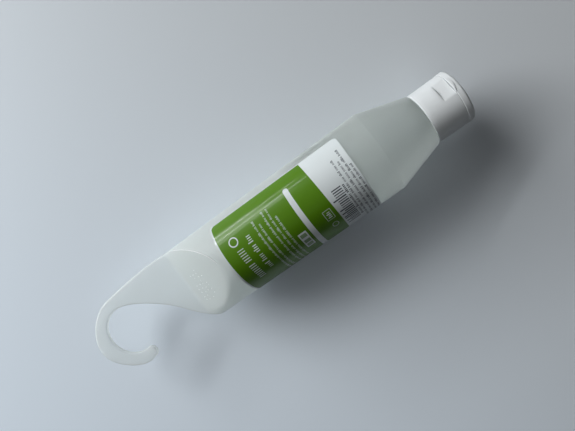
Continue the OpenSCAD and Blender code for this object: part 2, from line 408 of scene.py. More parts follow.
class Wiring:
    """Adds nodes to one shader tree and joins them."""

    def __init__(self, tree: bpy.types.NodeTree) -> None:
        """Keeps the tree."""
        self.tree = tree

    def add(self, kind: str, **settings: object) -> bpy.types.Node:
        """Adds a node.

        Args:
            kind: the node's type without its ShaderNode prefix.
            settings: properties of the node.

        Returns:
            The node.
        """
        node = self.tree.nodes.new(kind if kind.startswith("Node") else "ShaderNode" + kind)
        for name, value in settings.items():
            setattr(node, name, value)
        return node

    def feed(self, socket: bpy.types.NodeSocket, value: object) -> None:
        """Joins a socket to another socket, or sets it to a plain value.

        Args:
            socket: input to feed.
            value: output socket, number or tuple.
        """
        if isinstance(value, bpy.types.NodeSocket):
            self.tree.links.new(value, socket)
        else:
            socket.default_value = value

    def feed_all(self, sockets: bpy.types.bpy_prop_collection, values: dict) -> None:
        """Feeds several inputs.

        Args:
            sockets: the inputs.
            values: what to feed them, by name with underscores for spaces.
        """
        for name, value in values.items():
            self.feed(sockets[name.replace("_", " ")], value)

    def math(self, operation: str, *values: object, clamp: bool = False) -> bpy.types.NodeSocket:
        """Adds a Math node.

        Args:
            operation: what it does.
            values: its inputs in order, as sockets or numbers.
            clamp: whether the result is held between 0 and 1.

        Returns:
            The result.
        """
        node = self.add("Math", operation=operation, use_clamp=clamp)
        for socket, value in zip(node.inputs, values):
            self.feed(socket, value)
        return node.outputs[0]

    def product(self, *values: object) -> bpy.types.NodeSocket:
        """Multiplies values in order.

        Args:
            values: sockets or numbers.

        Returns:
            The product.
        """
        result = values[0]
        for value in values[1:]:
            result = self.math("MULTIPLY", result, value)
        return result

    def distance(self, first: object, second: object) -> bpy.types.NodeSocket:
        """Returns |first - second|."""
        return self.math("ABSOLUTE", self.math("SUBTRACT", first, second))

    def inside(self, depth: object, soft: object) -> bpy.types.NodeSocket:
        """Returns the mask depth / soft + 1/2 inside a soft edge, held between 0 and 1."""
        return self.math("ADD", self.math("DIVIDE", depth, soft), 0.5, clamp=True)

    def hairline(self, value: object, level: object, half_width: object) -> bpy.types.NodeSocket:
        """Mask 1 - |value - level| / half width of a thin line, held between 0 and 1.

        Args:
            value: what the line is drawn on.
            level: value on the line.
            half_width: distance at which it fades to 0.

        Returns:
            The mask.
        """
        off = self.math("DIVIDE", self.distance(value, level), half_width)
        return self.math("SUBTRACT", 1.0, off, clamp=True)

    def step(self, value: object, low: float, high: float, to_low: float = 0.0,
             to_high: float = 1.0) -> bpy.types.NodeSocket:
        """Maps a value smoothly from one range to another.

        Args:
            value: input socket.
            low: start of its range.
            high: end of its range.
            to_low: result at and below low.
            to_high: result at and above high.

        Returns:
            The output socket.
        """
        node = self.add("MapRange", interpolation_type="SMOOTHSTEP", clamp=True)
        self.feed_all(node.inputs, {"Value": value, "From Min": low, "From Max": high,
                                    "To Min": to_low, "To Max": to_high})
        return node.outputs[0]

    def mix(self, factor: object, first: object, second: object) -> bpy.types.NodeSocket:
        """Mixes two colours.

        Args:
            factor: share of the second colour.
            first: colour where the factor is 0.
            second: colour where the factor is 1.

        Returns:
            The mixed colour.
        """
        node = self.add("Mix", data_type="RGBA")
        for number, value in ((0, factor), (6, first), (7, second)):
            self.feed(node.inputs[number], value)
        return node.outputs[2]

    def axes(self, vector: object) -> bpy.types.bpy_prop_collection:
        """Splits a vector.

        Args:
            vector: the vector's socket.

        Returns:
            Its X, Y and Z.
        """
        node = self.add("SeparateXYZ")
        self.feed(node.inputs[0], vector)
        return node.outputs

    def noise(self, vector: object, scale: object, detail: float) -> bpy.types.NodeSocket:
        """Adds a noise texture.

        Args:
            vector: position.
            scale: its scale.
            detail: its detail.

        Returns:
            The noise, about 0.5.
        """
        node = self.add("TexNoise")
        self.feed_all(node.inputs, {"Vector": vector, "Scale": scale, "Detail": detail})
        return node.outputs[0]

    def call(self, group: bpy.types.NodeTree, **inputs: object) -> bpy.types.bpy_prop_collection:
        """Places a node group.

        Args:
            group: the group.
            inputs: its inputs by name, with underscores for spaces.

        Returns:
            The group's outputs.
        """
        node = self.add("Group", node_tree=group)
        self.feed_all(node.inputs, inputs)
        return node.outputs


def linear(red: float, green: float, blue: float) -> tuple:
    """Colour from display values 0 to 255: ((c + 0.055) / 1.055) ^ 2.4 above 0.04045.

    Args:
        red: display value of red.
        green: display value of green.
        blue: display value of blue.

    Returns:
        Linear colour with alpha 1.
    """
    share = [c / 255 for c in (red, green, blue)]
    return (*(s / 12.92 if s <= 0.04045 else ((s + 0.055) / 1.055) ** 2.4 for s in share), 1.0)


class Effect(Enum):
    """Shader effects that more than one material or more than one place in a material uses."""

    SKIN = "moulded skin"
    PARTING = "parting line"
    BLOCK = "printed block"
    WORDS = "printed row"


class Effects:
    """Builds each shader node group once and hands it out."""

    def __init__(self) -> None:
        """Starts with no group built."""
        self.built: dict = {}
        self.makers = {Effect.SKIN: self.skin, Effect.PARTING: self.parting,
                       Effect.BLOCK: self.block, Effect.WORDS: self.words}

    def get(self, effect: Effect) -> bpy.types.NodeTree:
        """Hands out the group of an effect, which is built at the first call.

        Args:
            effect: the effect.

        Returns:
            Its group.
        """
        if effect not in self.built:
            self.built[effect] = self.makers[effect]()
        return self.built[effect]

    @staticmethod
    def start(effect: Effect, inputs: dict, outputs: Sequence[str]) -> tuple:
        """Starts a group.

        Args:
            effect: the effect, whose value names the group.
            inputs: default of each input; a tuple of three makes a vector.
            outputs: names of the outputs, all of them numbers.

        Returns:
            The group, its wiring, its input node's outputs and its output node's inputs.
        """
        tree = bpy.data.node_groups.new(effect.value, "ShaderNodeTree")
        for key, default in inputs.items():
            kind = "NodeSocketVector" if isinstance(default, tuple) else "NodeSocketFloat"
            socket = tree.interface.new_socket(name=key, in_out="INPUT", socket_type=kind)
            socket.default_value = default
        for key in outputs:
            tree.interface.new_socket(name=key, in_out="OUTPUT", socket_type="NodeSocketFloat")
        wiring = Wiring(tree)
        given, out = wiring.add("NodeGroupInput").outputs, wiring.add("NodeGroupOutput").inputs
        return tree, wiring, given, out

    def skin(self) -> bpy.types.NodeTree:
        """Builds the moulded skin: fine grain and slow waves.

        Returns:
            Group with Tone about 0.5, Roughness about a base, and Height in metres.
        """
        tree, w, given, out = self.start(
            Effect.SKIN,
            {"Position": (0.0, 0.0, 0.0), "Grain": 900.0, "Waves": 60.0, "Base Roughness": 0.4,
             "Spread": 0.1, "Depth": 0.00002},
            ("Tone", "Roughness", "Height"))
        grain = w.noise(given["Position"], given["Grain"], 3.0)
        slow = w.step(w.noise(given["Position"], given["Waves"], 2.0), 0.3, 0.7)
        w.feed(out["Tone"], slow)
        wave_share, grain_share = 0.7, 0.6
        tone = w.math("ADD", w.product(slow, wave_share), w.product(grain, grain_share))
        tone = w.math("SUBTRACT", tone, (wave_share + grain_share) / 2)
        w.feed(out["Roughness"],
               w.math("MULTIPLY_ADD", tone, given["Spread"], given["Base Roughness"]))
        w.feed(out["Height"], w.product(w.math("MULTIPLY_ADD", slow, 3.0, grain), given["Depth"]))
        return tree

    def parting(self) -> bpy.types.NodeTree:
        """Builds the parting line, a thin ridge where the object's z is at a level.

        Returns:
            Group with Mask.
        """
        tree, w, given, out = self.start(
            Effect.PARTING, {"Position": (0.0, 0.0, 0.0), "Level": 0.025, "Half Width": 0.0002},
            ("Mask",))
        height = w.axes(given["Position"])["Z"]
        w.feed(out["Mask"], w.hairline(height, given["Level"], given["Half Width"]))
        return tree

    def block(self) -> bpy.types.NodeTree:
        """Builds a rounded block of print, from the distance to a rounded rectangle.

        Returns:
            Group with Mask, 1 inside, and Depth, the distance inside the edge.
        """
        tree, w, given, out = self.start(
            Effect.BLOCK,
            {"Across": 0.0, "Along": 0.0, "Middle Across": 0.0, "Middle Along": 0.0,
             "Half Across": 1.0, "Half Along": 1.0, "Round": 0.3, "Soft": 0.06},
            ("Mask", "Depth"))
        sides = [w.math("SUBTRACT", w.distance(given[axis], given["Middle " + axis]),
                        w.math("SUBTRACT", given["Half " + axis], given["Round"]))
                 for axis in ("Across", "Along")]
        reach = [w.math("MAXIMUM", side, 0.0) for side in sides]
        corner = w.math("SQRT", w.math("ADD", *(w.product(side, side) for side in reach)))
        inner = w.math("MINIMUM", w.math("MAXIMUM", *sides), 0.0)
        depth = w.math("SUBTRACT", given["Round"], w.math("ADD", corner, inner))
        w.feed(out["Depth"], depth)
        w.feed(out["Mask"], w.inside(depth, given["Soft"]))
        return tree

    def words(self) -> bpy.types.NodeTree:
        """Builds a row of plain strokes in word-long runs, with no letter in it.

        Each cell of the pitch holds a stroke, wider or taller by luck, and one cell in every
        Word cells is left empty.

        Returns:
            Group with Mask: the strokes between From and To.
        """
        tree, w, given, out = self.start(
            Effect.WORDS,
            {"Across": 0.0, "Along": 0.0, "From": 0.0, "To": 10.0, "Level": 0.0, "Height": 1.2,
             "Pitch": 0.5, "Ink": 0.6, "Seed": 0.0, "Word": 7.0, "Soft": 0.12},
            ("Mask",))
        short, spread, seed_step, gap_step, gap_to = 0.72, 0.3, 91.7, 3.3, 0.9
        count = w.math("DIVIDE", w.math("SUBTRACT", given["Across"], given["From"]), given["Pitch"])
        cell = w.math("FLOOR", count)
        luck = w.add("TexWhiteNoise", noise_dimensions="1D")
        w.feed(luck.inputs["W"], w.math("ADD", cell, w.product(given["Seed"], seed_step)))
        luck = luck.outputs[0]
        width = w.math("MULTIPLY_ADD", luck, spread, given["Ink"])
        off = w.distance(w.math("FRACT", count), 0.5)
        stroke = w.inside(w.math("SUBTRACT", w.product(width, 0.5), off), given["Soft"])
        gap = w.math("MULTIPLY_ADD", given["Seed"], gap_step, cell)
        gap = w.math("FRACT", w.math("DIVIDE", gap, given["Word"]))
        word = w.math("GREATER_THAN", w.product(gap, given["Word"]), gap_to)
        tall = w.math("GREATER_THAN", luck, short)
        height = w.product(given["Height"], w.math("MULTIPLY_ADD", tall, 1 - short, short))
        lift = w.product(w.math("SUBTRACT", given["Height"], height), 0.5)
        off_level = w.distance(given["Along"], w.math("ADD", given["Level"], lift))
        level = w.inside(w.math("SUBTRACT", w.product(height, 0.5), off_level), given["Soft"])
        after = w.math("GREATER_THAN", given["Across"], given["From"])
        before = w.math("LESS_THAN", given["Across"], given["To"])
        w.feed(out["Mask"], w.product(stroke, word, level, after, before))
        return tree


# ---------------------------------------------------------------- finishes


class Finish:
    """One material being built: its wiring, its Principled shader and the moulded skin on it."""

    def __init__(self, name: str, effects: Effects, **skin: float) -> None:
        """Starts the material, whose Roughness follows the skin.

        Args:
            name: its name.
            effects: the shader groups.
            skin: values of the skin's inputs by name, with underscores for spaces.
        """
        self.material = bpy.data.materials.new(name)
        self.material.use_nodes = True
        self.wiring = Wiring(self.material.node_tree)
        self.shader = self.material.node_tree.nodes["Principled BSDF"]
        self.position = self.wiring.add("TexCoord").outputs["Object"]
        self.skin = self.wiring.call(effects.get(Effect.SKIN), Position=self.position, **skin)
        self.set(Roughness=self.skin["Roughness"])

    def set(self, **values: object) -> None:
        """Feeds the shader's inputs, by name with underscores for spaces."""
        self.wiring.feed_all(self.shader.inputs, values)

    def tone(self, colour: tuple, drop: float) -> bpy.types.NodeSocket:
        """Mixes a colour with a slightly darker one by the skin's slow waves.

        Args:
            colour: display values of the lighter colour.
            drop: how much lower each value of the darker one is.

        Returns:
            The mixed colour.
        """
        darker = linear(*(value - drop for value in colour))
        return self.wiring.mix(self.skin["Tone"], linear(*colour), darker)

    def relief(self, height: bpy.types.NodeSocket) -> bpy.types.NodeSocket:
        """Gives the surface a relief.

        Args:
            height: heights in metres.

        Returns:
            The normal.
        """
        bump = self.wiring.add("Bump")
        self.wiring.feed_all(bump.inputs, {"Distance": 1.0, "Height": height})
        self.set(Normal=bump.outputs[0])
        return bump.outputs[0]


@dataclass(frozen=True)
class MilkyPlastic:
    """Natural blown plastic, milky and satin, with the parting line of its mould."""

    name: str = "milky_plastic"
    colour: tuple = (246, 249, 247)
    thick_colour: tuple = (247, 250, 249)
    roughness: float = 0.6
    glow: float = 0.5
    haze: float = 0.14
    thick_haze: float = 0.5
    mottling: float = 0.25
    thick_to: float = 0.024
    thin_from: float = 0.050
    ridge_h: float = 0.00008
    ridge_half_w: float = 0.00022

    def material(self, effects: Effects) -> bpy.types.Material:
        """Builds the material, a hazy skin mixed with one that glows with the light behind it.

        The plastic is thicker, so less clear, on the hook and the slanted faces.

        Args:
            effects: the shader groups.

        Returns:
            The material.
        """
        finish = Finish(self.name, effects, Grain=1400.0, Waves=45.0, Base_Roughness=self.roughness,
                        Spread=0.10, Depth=0.000006)
        w = finish.wiring
        parting = w.call(effects.get(Effect.PARTING), Position=finish.position,
                         Half_Width=self.ridge_half_w)
        thick = w.step(w.axes(finish.position)["X"], self.thick_to, self.thin_from, 1.0, 0.0)
        mottle = w.math("MULTIPLY_ADD", finish.skin["Tone"], self.mottling, thick, clamp=True)
        thin_colour, thick_colour = linear(*self.colour), linear(*self.thick_colour)
        finish.set(Base_Color=w.mix(mottle, thin_colour, thick_colour),
                   Alpha=w.math("MULTIPLY_ADD", thick, self.thick_haze - self.haze, self.haze),
                   Coat_Weight=0.35, Coat_Roughness=0.3)
        normal = finish.relief(w.math("MULTIPLY_ADD", parting["Mask"], self.ridge_h,
                                      finish.skin["Height"]))
        glow = w.add("BsdfTranslucent")
        w.feed_all(glow.inputs, {"Color": w.mix(thick, thin_colour, thick_colour),
                                 "Normal": normal})
        both = w.add("MixShader")
        for number, value in enumerate((self.glow, finish.shader.outputs[0], glow.outputs[0])):
            w.feed(both.inputs[number], value)
        surface = finish.material.node_tree.nodes["Material Output"].inputs["Surface"]
        w.feed(surface, both.outputs[0])
        return finish.material


@dataclass(frozen=True)
class ClearGel:
    """Clear water-like gel."""

    colour: tuple = (236, 242, 240)
    haze: float = 0.1

    def material(self, effects: Effects) -> bpy.types.Material:
        """Builds the material.

        Args:
            effects: the shader groups.

        Returns:
            The material.
        """
        finish = Finish("clear_gel", effects, Grain=120.0, Waves=30.0, Base_Roughness=0.12,
                        Spread=0.05, Depth=0.00001)
        finish.set(Base_Color=finish.tone(self.colour, 6), Alpha=self.haze)
        return finish.material


@dataclass(frozen=True)
class CapPlastic:
    """Glossy white moulded plastic of the cap, lid and film hinge."""

    colour: tuple = (226, 229, 230)
    roughness: float = 0.32
    bleed: float = 0.002

    def material(self, effects: Effects) -> bpy.types.Material:
        """Builds the material.

        Args:
            effects: the shader groups.

        Returns:
            The material.
        """
        finish = Finish("cap_plastic", effects, Grain=2200.0, Waves=80.0,
                        Base_Roughness=self.roughness, Spread=0.08, Depth=0.000003)
        finish.set(Base_Color=finish.tone(self.colour, 5), Subsurface_Weight=0.15,
                   Subsurface_Radius=(self.bleed,) * 3, Subsurface_Scale=1.0)
        finish.relief(finish.skin["Height"])
        return finish.material


@dataclass(frozen=True)
class Patch:
    """Rounded block of print; middle and half sizes are (across, along)."""

    middle: tuple
    half: tuple
    corner_r: float = 0.3


@dataclass(frozen=True)
class Strokes:
    """Row of plain strokes that stands for a line of text.

    Level, start and end place it; ink is the least width of a stroke as a share of the pitch, and
    word the number of cells from one gap to the next.
    """

    level: float
    start: float
    end: float
    height: float
    pitch: float
    ink: float
    word: float
    seed: float


class Printer:
    """Places blocks and rows of print on the label's map, which is read in millimetres."""

    def __init__(self, wiring: Wiring, effects: Effects) -> None:
        """Reads the map.

        Args:
            wiring: wiring of the label's material.
            effects: the shader groups.
        """
        self.wiring, self.effects = wiring, effects
        spot = wiring.axes(wiring.add("UVMap", uv_map="print").outputs[0])
        self.across, self.along = (wiring.product(spot[axis], MAP_MM) for axis in ("X", "Y"))

    def block(self, patch: Patch) -> bpy.types.bpy_prop_collection:
        """Places a block.

        Args:
            patch: its sizes.

        Returns:
            Its Mask and its Depth inside the edge.
        """
        return self.wiring.call(self.effects.get(Effect.BLOCK),
                                Across=self.across, Along=self.along,
                                Middle_Across=patch.middle[0], Middle_Along=patch.middle[1],
                                Half_Across=patch.half[0], Half_Along=patch.half[1],
                                Round=patch.corner_r)

    def outline(self, patch: Patch, inset: float, half_width: float) -> bpy.types.NodeSocket:
        """Mask of a line along the inside of a block's edge.

        Args:
            patch: the block.
            inset: distance of the line's middle inside the edge.
            half_width: distance at which it fades.

        Returns:
            The mask.
        """
        return self.wiring.hairline(self.block(patch)["Depth"], inset, half_width)

    def row(self, strokes: Strokes) -> bpy.types.NodeSocket:
        """Mask of a row of strokes.

        Args:
            strokes: its sizes.

        Returns:
            The mask.
        """
        return self.wiring.call(self.effects.get(Effect.WORDS),
                                Across=self.across, Along=self.along,
                                From=strokes.start, To=strokes.end, Level=strokes.level,
                                Height=strokes.height, Pitch=strokes.pitch, Ink=strokes.ink,
                                Word=strokes.word, Seed=strokes.seed)["Mask"]

    def either(self, masks: Sequence[bpy.types.NodeSocket]) -> bpy.types.NodeSocket:
        """Greatest of several masks.

        Args:
            masks: the masks.

        Returns:
            Their maximum.
        """
        result = masks[0]
        for mask in masks[1:]:
            result = self.wiring.math("MAXIMUM", result, mask)
        return result


@dataclass(frozen=True)
class PrintedFilm:
    """Glossy printed film of the label: a green field, a white end, and plain strokes as text.

    A line is (distance inside its block's edge, distance at which it fades).
    """

    green: tuple = (80, 124, 4)
    white: tuple = (214, 220, 221)
    ink: tuple = (44, 50, 62)
    field: Patch = Patch((47.995, 50.0), (47.445, 49.15), 2.5)
    field_end: float = 65.0
    bow: float = 3.35
    bow_middle: float = 42.8
    field_soft: float = 0.08
    stripe: Patch = Patch((74.75, 48.5), (65.25, 1.6), 1.4)
    ring: Patch = Patch((17.5, 9.4), (2.9, 2.9), 2.89)
    ring_line: tuple = (0.4, 0.4)
    ring_gain: float = 3.0
    badge: Patch = Patch((41.0, 42.5), (6.0, 2.6))
    panes: tuple = (Patch((37.4, 42.5), (1.3, 1.9), 0.2), Patch((41.6, 42.5), (1.3, 1.9), 0.2),
                    Patch((45.0, 42.5), (1.3, 1.9), 0.2))
    frame: Patch = Patch((35.7, 60.15), (3.5, 2.6), 0.5)
    frame_line: tuple = (0.3, 0.25)
    seal: Patch = Patch((43.6, 60.15), (2.1, 2.1), 2.09)
    seal_line: tuple = (0.35, 0.3)
    title: Strokes = Strokes(9.4, 22.5, 46.0, 5.6, 1.5, 0.26, 9.0, 1.0)
    volume_row: Strokes = Strokes(17.6, 18.5, 42.0, 3.2, 1.25, 0.24, 5.0, 2.0)
    frame_row: Strokes = Strokes(60.2, 33.6, 38.0, 2.4, 1.1, 0.3, 40.0, 9.0)
    bars: Strokes = Strokes(70.0, 25.4, 51.0, 8.0, 1.35, 0.32, 400.0, 12.0)
    digits: Strokes = Strokes(75.2, 26.0, 50.0, 1.6, 0.9, 0.4, 12.0, 13.0)
    green_row: Strokes = Strokes(24.0, 14.0, 88.0, 1.3, 0.55, 0.36, 7.0, 3.0)
    green_rows: tuple = ((24.0, 14.0), (26.9, 17.5), (31.0, 12.5), (33.9, 12.5), (36.8, 19.0))
    white_row: Strokes = Strokes(77.3, 12.2, 90.0, 1.4, 0.6, 0.36, 6.0, 15.0)
    white_rows: tuple = ((77.3, 12.2), (80.0, 14.8), (82.6, 8.1), (84.8, 19.6))
    faint: float = 0.75

    def green_field(self, press: Printer) -> bpy.types.NodeSocket:
        """Mask of the green field, whose far edge bows: along = end - bow (1 - across / middle)^2.

        Args:
            press: places print on the map.

        Returns:
            The mask.
        """
        w = press.wiring
        off = w.distance(1.0, w.math("DIVIDE", press.across, self.bow_middle))
        edge = w.math("MULTIPLY_ADD", w.math("POWER", off, 2.0), -self.bow, self.field_end)
        within = w.inside(w.math("SUBTRACT", edge, press.along), self.field_soft)
        return w.product(press.block(self.field)["Mask"], within)

    def white_print(self, press: Printer) -> bpy.types.NodeSocket:
        """Mask of what is white on the green field: stripe, ring, badge and rows.

        Args:
            press: places print on the map.

        Returns:
            The mask.
        """
        w = press.wiring
        ring = w.math("MULTIPLY", press.outline(self.ring, *self.ring_line), self.ring_gain,
                      clamp=True)
        first = self.green_row
        rows = [press.row(replace(first, level=level, start=start, word=first.word + 2 * n % 5,
                                  seed=first.seed + n))
                for n, (level, start) in enumerate(self.green_rows)]
        panes = press.either([press.block(pane)["Mask"] for pane in self.panes])
        badge = w.math("SUBTRACT", press.block(self.badge)["Mask"], w.product(panes, self.faint),
                       clamp=True)
        return press.either([press.block(self.stripe)["Mask"], ring, press.row(self.title),
                             press.row(self.volume_row), badge,
                             *(w.product(row, self.faint) for row in rows)])

    def dark_print(self, press: Printer) -> bpy.types.NodeSocket:
        """Mask of what is dark on the white end: bars, digits and rows.

        Args:
            press: places print on the map.

        Returns:
            The mask.
        """
        first = self.white_row
        rows = [press.row(replace(first, level=level, start=start, word=first.word + n,
                                  seed=first.seed + n))
                for n, (level, start) in enumerate(self.white_rows)]
        return press.either([press.row(self.bars), press.row(self.digits), *rows])

    def material(self, effects: Effects) -> bpy.types.Material:
        """Builds the material.

        Args:
            effects: the shader groups.

        Returns:
            The material.
        """
        finish = Finish("printed_film", effects, Grain=700.0, Waves=70.0, Base_Roughness=0.42,
                        Spread=0.06, Depth=0.000004)
        w = finish.wiring
        press = Printer(w, effects)
        white, green = linear(*self.white), linear(*self.green)
        bare = w.math("SUBTRACT", 1.0, self.white_print(press))
        paper = w.mix(w.product(self.green_field(press), bare), white, green)
        small = press.either([press.outline(self.frame, *self.frame_line),
                              press.row(self.frame_row),
                              press.outline(self.seal, *self.seal_line)])
        paper = w.mix(small, paper, white)
        paper = w.mix(self.dark_print(press), paper, linear(*self.ink))
        finish.set(Base_Color=paper, Specular_IOR_Level=0.2, Coat_Weight=0.28, Coat_Roughness=0.07)
        finish.relief(finish.skin["Height"])
        return finish.material


@dataclass(frozen=True)
class TableTop:
    """Pale smooth table, painted lighter and with a painted glow towards the window's side."""

    lit_side_colour: tuple = (219, 229, 238)
    dim_side_colour: tuple = (210, 214, 217)
    painted_glow: tuple = (60, 64, 70)
    slant: float = 0.45
    fade: float = 0.26

    def material(self, effects: Effects) -> bpy.types.Material:
        """Builds the material; its painted light, colour and glow, fades with x + slant * y.

        Args:
            effects: the shader groups.

        Returns:
            The material.
        """
        finish = Finish("table_top", effects, Grain=500.0, Waves=20.0, Base_Roughness=0.5,
                        Spread=0.05, Depth=0.000004)
        w = finish.wiring
        spot = w.axes(finish.position)
        way = w.math("MULTIPLY_ADD", spot["Y"], self.slant, spot["X"])
        share = w.step(way, -self.fade, self.fade)
        # Painted light: emission seen only by camera, glossy and transmission rays is a painted
        # glow, and the colour goes from lit side to dim side.
        rays = w.add("LightPath").outputs
        seen = w.math("MAXIMUM", rays["Is Camera Ray"],
                      w.math("MAXIMUM", rays["Is Glossy Ray"], rays["Is Transmission Ray"]))
        finish.set(Base_Color=w.mix(share, linear(*self.lit_side_colour), linear(*self.dim_side_colour)),
                   Emission_Color=w.mix(share, linear(*self.painted_glow), linear(0, 0, 0)),
                   Emission_Strength=seen, Specular_IOR_Level=0.15)
        return finish.material


# ---------------------------------------------------------------- bottle


@dataclass
class Hook:
    """Flat hook moulded on the closed end."""

    half_t: float = 1.5
    edge: float = 1.15
    eye: tuple = (-48.15, -0.63)
    eye_r: float = 15.5
    tip_angle: float = 276.0
    tip_r: float = 3.6
    tip_start: float = 86.0
    tip_rows: int = 16
    bend_rows: int = 92
    blur: int = 15
    widths: tuple = ((84, 8.2), (100, 7.7), (115, 7.6), (135, 7.7), (151, 8.4), (164, 9.5),
                     (177, 10.5), (190, 10.9), (200, 10.6), (209, 9.9), (222, 9.0), (240, 8.6),
                     (257, 8.6), (267, 8.2), (276, 7.2))
    spine_lead: tuple = ((-31.7, 24.9), (-14.4, 26.3))
    roof_angle: float = 75.0
    roof_lead: float = 0.6
    throat: tuple = (-12.6, -8.1)
    throat_fall: float = 51.0
    throat_leads: tuple = (11.0, 9.6)
    low_lead: float = 1.5
    low_end: float = 8.2
    far_end: float = 400.0

    def width(self, angle: np.ndarray) -> np.ndarray:
        """Width of the strip at an angle round the eye.

        Args:
            angle: angles in degrees.

        Returns:
            The widths, by straight runs between known ones, averaged over some degrees.
        """
        known = np.array(self.widths)
        first, last = known[[0, -1], 0]
        fine = np.linspace(first, last, int(last - first) + 1)
        kernel = np.hanning(self.blur)
        padded = np.pad(np.interp(fine, known[:, 0], known[:, 1]), self.blur // 2, mode="edge")
        return np.interp(angle, fine, np.convolve(padded, kernel / kernel.sum(), "valid"))

    def spine(self, x: np.ndarray, body_r: float) -> np.ndarray:
        """Height of the spine's edge above the axis, on one curve from the eye to the body.

        Args:
            x: stations from the eye to the body.
            body_r: radius of the body.

        Returns:
            The heights.
        """
        end = self.eye_r + float(self.width(np.array([90.0]))[0]) + self.eye[1]
        path = bezier([(self.eye[0], end), *self.spine_lead, (0, body_r)], steps=200)
        return np.interp(x, path[:, 0], path[:, 1])

    def low_edge(self, x: np.ndarray, body_r: float) -> np.ndarray:
        """Height of the lower edge: eye, roof, throat and the body's cut corner.

        Args:
            x: stations from the eye's centre onwards.
            body_r: radius of the body.

        Returns:
            The heights, negative below the axis.
        """
        eye, throat = np.array(self.eye), np.array(self.throat)
        angle = np.radians(np.linspace(90, self.roof_angle, num=12))
        arc = eye + self.eye_r * np.stack([np.cos(angle), np.sin(angle)], axis=1)
        roof_way, fall = (np.array([math.cos(math.radians(a)), -math.sin(math.radians(a))])
                          for a in (90 - self.roof_angle, self.throat_fall))
        lead = self.roof_lead * self.eye_r * roof_way
        before, after = self.throat_leads
        roof = bezier([arc[-1], arc[-1] + lead, throat - before * fall, throat], steps=120)
        low = [(x_low, -body_r) for x_low in (self.low_lead, self.low_end)]
        side = bezier([throat, throat + after * fall, *low], steps=160)
        path = np.concatenate([arc, roof[1:], side[1:], [(self.far_end, -body_r)]])
        return np.interp(x, path[:, 0], path[:, 1])

    def strip_rows(self, ring: int) -> np.ndarray:
        """Rings from the tip round the eye to the spine.

        The section at an angle a lies on the eye's ray at a. It is a flat bar with rounded edges,
        the rounded meet of |u| - w / 2 and |z| - half thickness; past the tip's angle the first
        field is hypot(u, s) - tip radius, at a distance s along the tangent.

        Args:
            ring: points in a ring.

        Returns:
            Array (n, ring, 3).
        """
        past = self.tip_r * np.sin(np.radians(np.linspace(self.tip_start, 0, self.tip_rows)))
        angle = np.concatenate([np.full(self.tip_rows, self.tip_angle),
                                np.linspace(self.tip_angle, 90, self.bend_rows + 2)[1:-1]])
        s = np.concatenate([past, np.zeros(self.bend_rows)])[:, None]
        half_w = self.width(angle)[:, None] / 2
        a = np.radians(angle)[:, None]
        out, along = np.stack([np.cos(a), np.sin(a)], -1), np.stack([-np.sin(a), np.cos(a)], -1)
        middle = np.array(self.eye) + out * (self.eye_r + half_w)[..., None] + along * s[..., None]
        turn = around(ring)
        least = 0.05
        open_w = np.sqrt(np.maximum(half_w**2 - s**2, least))
        way = np.stack([open_w * np.cos(turn), np.minimum(self.half_t, open_w) * np.sin(turn)])
        way = way / np.linalg.norm(way, axis=0)

        def field(distance: np.ndarray) -> np.ndarray:
            """Rounded meet of the strip's plan and its thickness.

            Args:
                distance: distances along the rays.

            Returns:
                The field, negative inside.
            """
            u, z = way * distance
            plan = np.where(s > 0, np.hypot(u, s), np.abs(u)) - half_w
            return rounded_meet(plan, np.abs(z) - self.half_t, self.edge)

        u, z = way * cast(field, way.shape[1:], reach=12.0)
        return np.concatenate([middle + out * u[..., None], z[..., None]], axis=-1)

    def tip(self) -> np.ndarray:
        """Finds the outermost point of the tip.

        Returns:
            The point.
        """
        a = math.radians(self.tip_angle)
        out, along = np.array([math.cos(a), math.sin(a)]), np.array([-math.sin(a), math.cos(a)])
        half_w = float(self.width(np.array([self.tip_angle]))[0]) / 2
        spot = np.array(self.eye) + out * (self.eye_r + half_w) + along * self.tip_r
        return np.array([*spot, 0.0])


@dataclass
class Thread:
    """Helical thread of a neck or a cap."""

    start: float
    pitch: float = 4.0
    turns: float = 2.2
    half_foot: float = 0.85
    half_crest: float = 0.35
    fade: float = 0.15

    def height(self, x: np.ndarray, turn: np.ndarray) -> np.ndarray:
        """Share of the thread's full height at a station and an angle.

        With w the turn count of the nearest thread line, x0 + pitch * w its station, the share
        falls straight from crest to foot with the distance |x - x0 - pitch * w|, and fades over
        a short part of the first and the last turn.

        Args:
            x: stations.
            turn: angles in radians, from 0 to 2 pi.

        Returns:
            The shares, 0 to 1.
        """
        part = turn / (2 * math.pi)
        count = part + np.round((x - self.start) / self.pitch - part)
        off = np.abs(x - self.start - self.pitch * count)
        flank = np.clip((self.half_foot - off) / (self.half_foot - self.half_crest), 0, 1)
        ends = np.clip(count / self.fade, 0, 1) * np.clip((self.turns - count) / self.fade, 0, 1)
        return flank * ends


